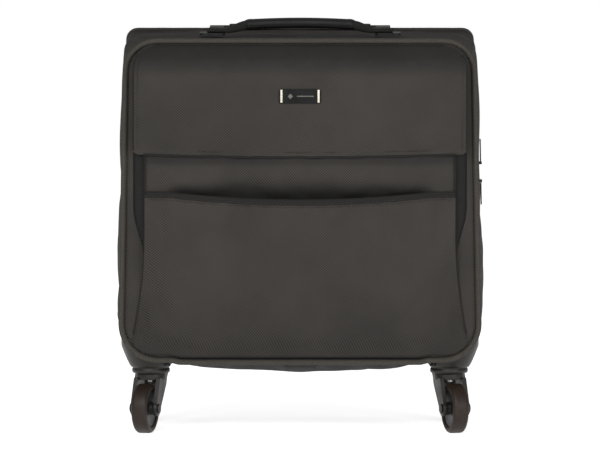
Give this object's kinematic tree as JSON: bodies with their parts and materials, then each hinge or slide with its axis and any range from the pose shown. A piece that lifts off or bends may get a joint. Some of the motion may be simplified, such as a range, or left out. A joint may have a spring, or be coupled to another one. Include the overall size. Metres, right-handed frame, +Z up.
{
  "type": "rolling flight case",
  "caption": "Soft-sided upright rolling flight case with a zipped front lid, front pockets and flap, swivel casters, a padded carry handle and a telescopic trolley handle.",
  "frame": {"origin": "on the floor under the middle of the case's box", "axes": "+X to the right seen from the front, +Y to the back, +Z up"},
  "size_m": [0.4016, 0.2274, 0.4521],
  "materials": {
    "twill": "fine diagonal weave, matt",
    "piping": "woven cover over a round cord",
    "dark_cloth": "plain weave, matt",
    "lining": "smooth polyester lining",
    "webbing": "ribbed webbing",
    "zip_tape": "zip tape and nylon coil",
    "moulded": "semi-gloss moulded plastic",
    "black_plastic": "satin black",
    "board": "thin stiff board",
    "tyre_rubber": "brownish polyurethane tread",
    "grip_rubber": "soft touch rubber",
    "steel": "zinc plated",
    "tube_metal": "satin anodised",
    "slider_metal": "dark nickel",
    "badge_black": "polished black",
    "bar_chrome": "polished"
  },
  "bodies": {
    "case": {"body_gusset": "twill", "front_sill": "twill", "lower_front_panel": "twill", "body_piping": "piping", "back_panel": "dark_cloth", "bottom_board": "board", "main_lining": "lining", "frame_wires": "steel", "zipper_body_side": "zip_tape", "handle_bezel": "moulded", "outer_tubes": "tube_metal", "tube_foot": "moulded", "carry_anchors": "black_plastic", "carry_straps": "webbing", "bottom_grab_strap": "webbing", "housing_screws": "steel", "swivel_pins": "steel", "housing_front_left": "moulded", "housing_front_right": "moulded", "housing_rear_left": "moulded", "housing_rear_right": "moulded"},
    "lid": {"lid_panel": "twill", "lid_gusset": "twill", "lid_piping": "piping", "zipper_lid_side": "zip_tape", "lid_lining": "lining", "pocket_panel": "twill", "pocket_gussets": "dark_cloth", "slip_pocket": "twill"},
    "flap": {"front_flap": "twill", "badge_plate": "badge_black", "badge_bars": "bar_chrome"},
    "upper_slider": {"slider_upper": "slider_metal"},
    "lower_slider": {"slider_lower": "slider_metal"},
    "upper_pull": {"pull_upper": "slider_metal"},
    "lower_pull": {"pull_lower": "slider_metal"},
    "handle_mid": {"mid_tubes": "tube_metal", "mid_collars": "black_plastic"},
    "handle_top": {"inner_tubes": "tube_metal", "handle_grip": "grip_rubber", "button_spring": "steel"},
    "button": {"release_button": "black_plastic", "release_rods": "steel"},
    "carry_handle": {"carry_grip": "grip_rubber"},
    "fork_front_left": {"fork_front_left": "moulded", "axle_front_left": "steel"},
    "wheel_front_left": {"hub_front_left": "black_plastic", "tyre_front_left": "tyre_rubber"},
    "fork_front_right": {"fork_front_right": "moulded", "axle_front_right": "steel"},
    "wheel_front_right": {"hub_front_right": "black_plastic", "tyre_front_right": "tyre_rubber"},
    "fork_rear_left": {"fork_rear_left": "moulded", "axle_rear_left": "steel"},
    "wheel_rear_left": {"hub_rear_left": "black_plastic", "tyre_rear_left": "tyre_rubber"},
    "fork_rear_right": {"fork_rear_right": "moulded", "axle_rear_right": "steel"},
    "wheel_rear_right": {"hub_rear_right": "black_plastic", "tyre_rear_right": "tyre_rubber"}
  },
  "joints": [
    {"name": "lid_hinge", "type": "hinge", "parent": "case", "child": "lid", "pos_m": [0, -0.09695, 0.104], "axis": [1, 0, 0], "range_deg": [0, 85]},
    {"name": "flap_hinge", "type": "hinge", "parent": "lid", "child": "flap", "pos_m": [0, -0.09605, 0.4254], "axis": [-1, 0, 0], "range_deg": [0, 115]},
    {"name": "upper_slider_slide", "type": "slide", "parent": "case", "child": "upper_slider", "axis": [-0.0182, 0, 0.9998], "range_m": [0, 0.092]},
    {"name": "lower_slider_slide", "type": "slide", "parent": "case", "child": "lower_slider", "axis": [-0.0182, 0, 0.9998], "range_m": [-0.145, 0]},
    {"name": "upper_pull_hinge", "type": "hinge", "parent": "upper_slider", "child": "upper_pull", "pos_m": [0.19683, -0.07705, 0.29535], "axis": [0, 1, 0], "range_deg": [0, 150]},
    {"name": "lower_pull_hinge", "type": "hinge", "parent": "lower_slider", "child": "lower_pull", "pos_m": [0.19718, -0.07705, 0.27585], "axis": [0, -1, 0], "range_deg": [0, 150]},
    {"name": "handle_lower_slide", "type": "slide", "parent": "case", "child": "handle_mid", "axis": [0, 0, 1], "range_m": [0, 0.262]},
    {"name": "handle_upper_slide", "type": "slide", "parent": "handle_mid", "child": "handle_top", "axis": [0, 0, 1], "range_m": [0, 0.265]},
    {"name": "release_press", "type": "slide", "parent": "handle_top", "child": "button", "axis": [0, 0, -1], "range_m": [0, 0.003], "stiffness_N_per_m": 1500, "springref_m": -0.002, "deforming": ["button_spring"]},
    {"name": "carry_lift", "type": "slide", "parent": "case", "child": "carry_handle", "axis": [0, 0, 1], "range_m": [0, 0.012], "deforming": ["carry_straps"]},
    {"name": "swivel_front_left", "type": "hinge", "parent": "case", "child": "fork_front_left", "pos_m": [-0.163, -0.06135, 0.06], "axis": [0, 0, 1], "continuous": true},
    {"name": "roll_front_left", "type": "hinge", "parent": "fork_front_left", "child": "wheel_front_left", "pos_m": [-0.16901, -0.08231, 0.027], "axis": [0.9613, -0.2756, 0], "continuous": true},
    {"name": "swivel_front_right", "type": "hinge", "parent": "case", "child": "fork_front_right", "pos_m": [0.163, -0.06135, 0.06], "axis": [0, 0, 1], "continuous": true},
    {"name": "roll_front_right", "type": "hinge", "parent": "fork_front_right", "child": "wheel_front_right", "pos_m": [0.16901, -0.08231, 0.027], "axis": [0.9613, 0.2756, 0], "continuous": true},
    {"name": "swivel_rear_left", "type": "hinge", "parent": "case", "child": "fork_rear_left", "pos_m": [-0.163, 0.07865, 0.06], "axis": [0, 0, 1], "continuous": true},
    {"name": "roll_rear_left", "type": "hinge", "parent": "fork_rear_left", "child": "wheel_rear_left", "pos_m": [-0.16901, 0.05769, 0.027], "axis": [0.9613, -0.2756, 0], "continuous": true},
    {"name": "swivel_rear_right", "type": "hinge", "parent": "case", "child": "fork_rear_right", "pos_m": [0.163, 0.07865, 0.06], "axis": [0, 0, 1], "continuous": true},
    {"name": "roll_rear_right", "type": "hinge", "parent": "fork_rear_right", "child": "wheel_rear_right", "pos_m": [0.16901, 0.05769, 0.027], "axis": [0.9613, 0.2756, 0], "continuous": true}
  ]
}
